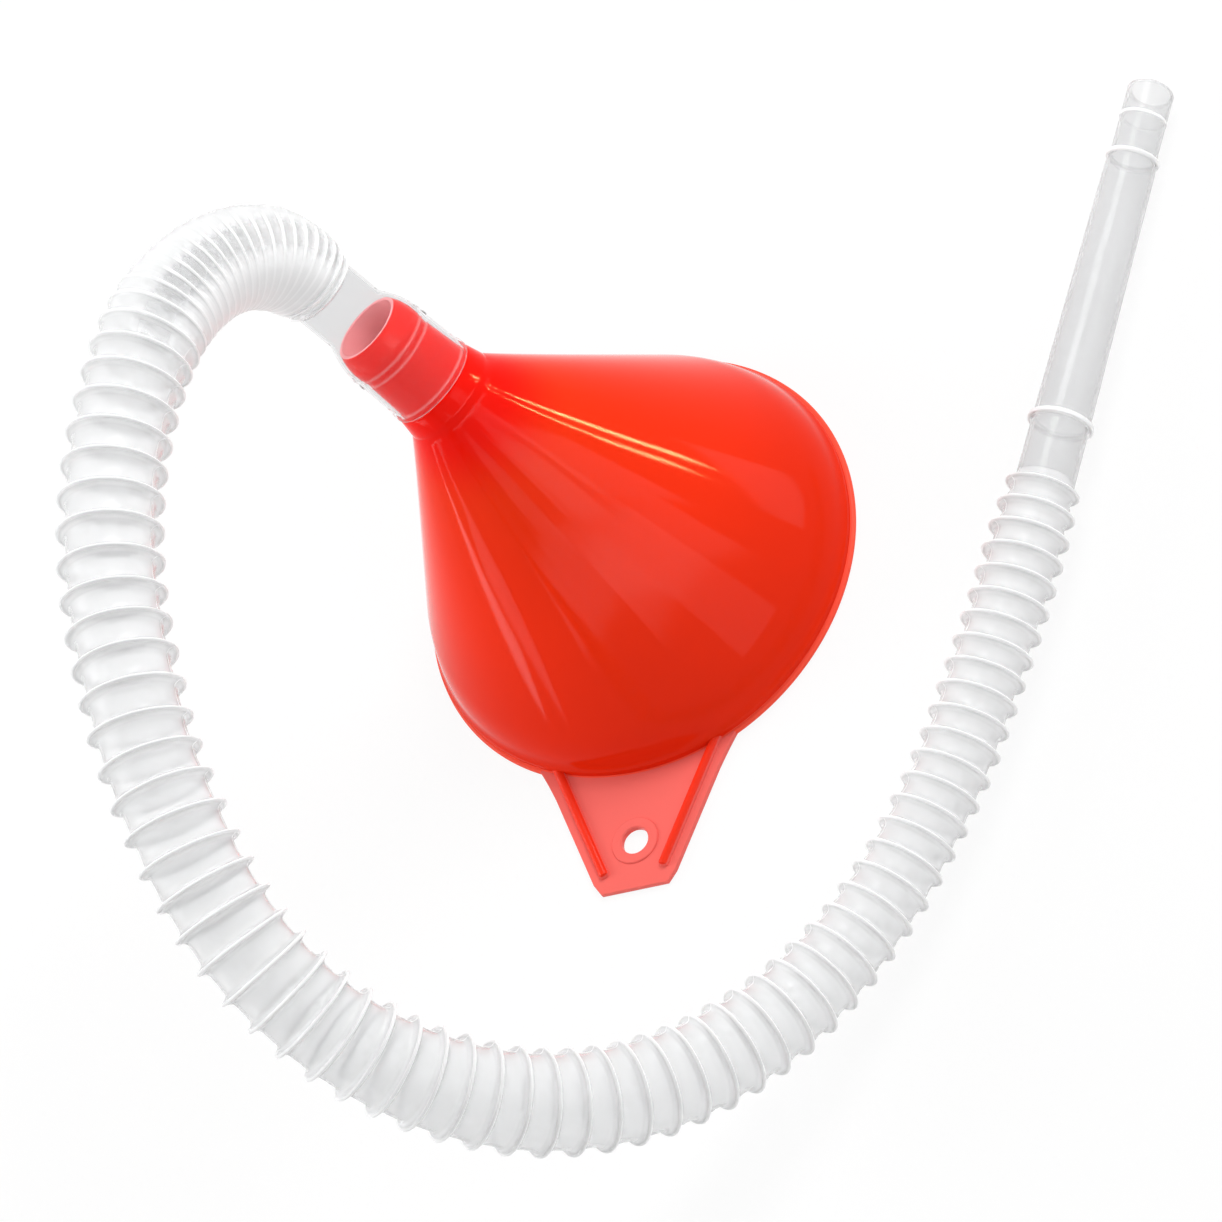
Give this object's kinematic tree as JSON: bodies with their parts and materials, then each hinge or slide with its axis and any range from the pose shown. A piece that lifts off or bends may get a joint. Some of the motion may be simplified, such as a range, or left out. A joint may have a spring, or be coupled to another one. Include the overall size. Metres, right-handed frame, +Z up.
{
  "type": "filling funnel with pour hose",
  "caption": "Wide leaning filling funnel with a hanging tab, standing mouth down, with a clear bellows pour hose pushed onto its spigot and looping round to a tapered nozzle on the floor.",
  "frame": {"origin": "centre of the funnel's mouth, in the plane its rim stands on", "axes": "+Z up out of the floor from the mouth towards the neck; the cone and its neck lean towards +Y; the nozzle end of the hose points towards +X and +Y"},
  "size_m": [0.388, 0.243, 0.1941],
  "materials": {
    "red_pp": "gloss",
    "clear_pe": "satin"
  },
  "bodies": {
    "funnel": {"funnel_body": "red_pp"},
    "hose": {"hose_cuff": "clear_pe", "bellows_hose": "clear_pe", "pour_nozzle": "clear_pe"}
  },
  "joints": [
    {"name": "hose_pull_off", "type": "slide", "parent": "funnel", "child": "hose", "axis": [0, 0.5, 0.866], "range_m": [0, 0.035]}
  ]
}
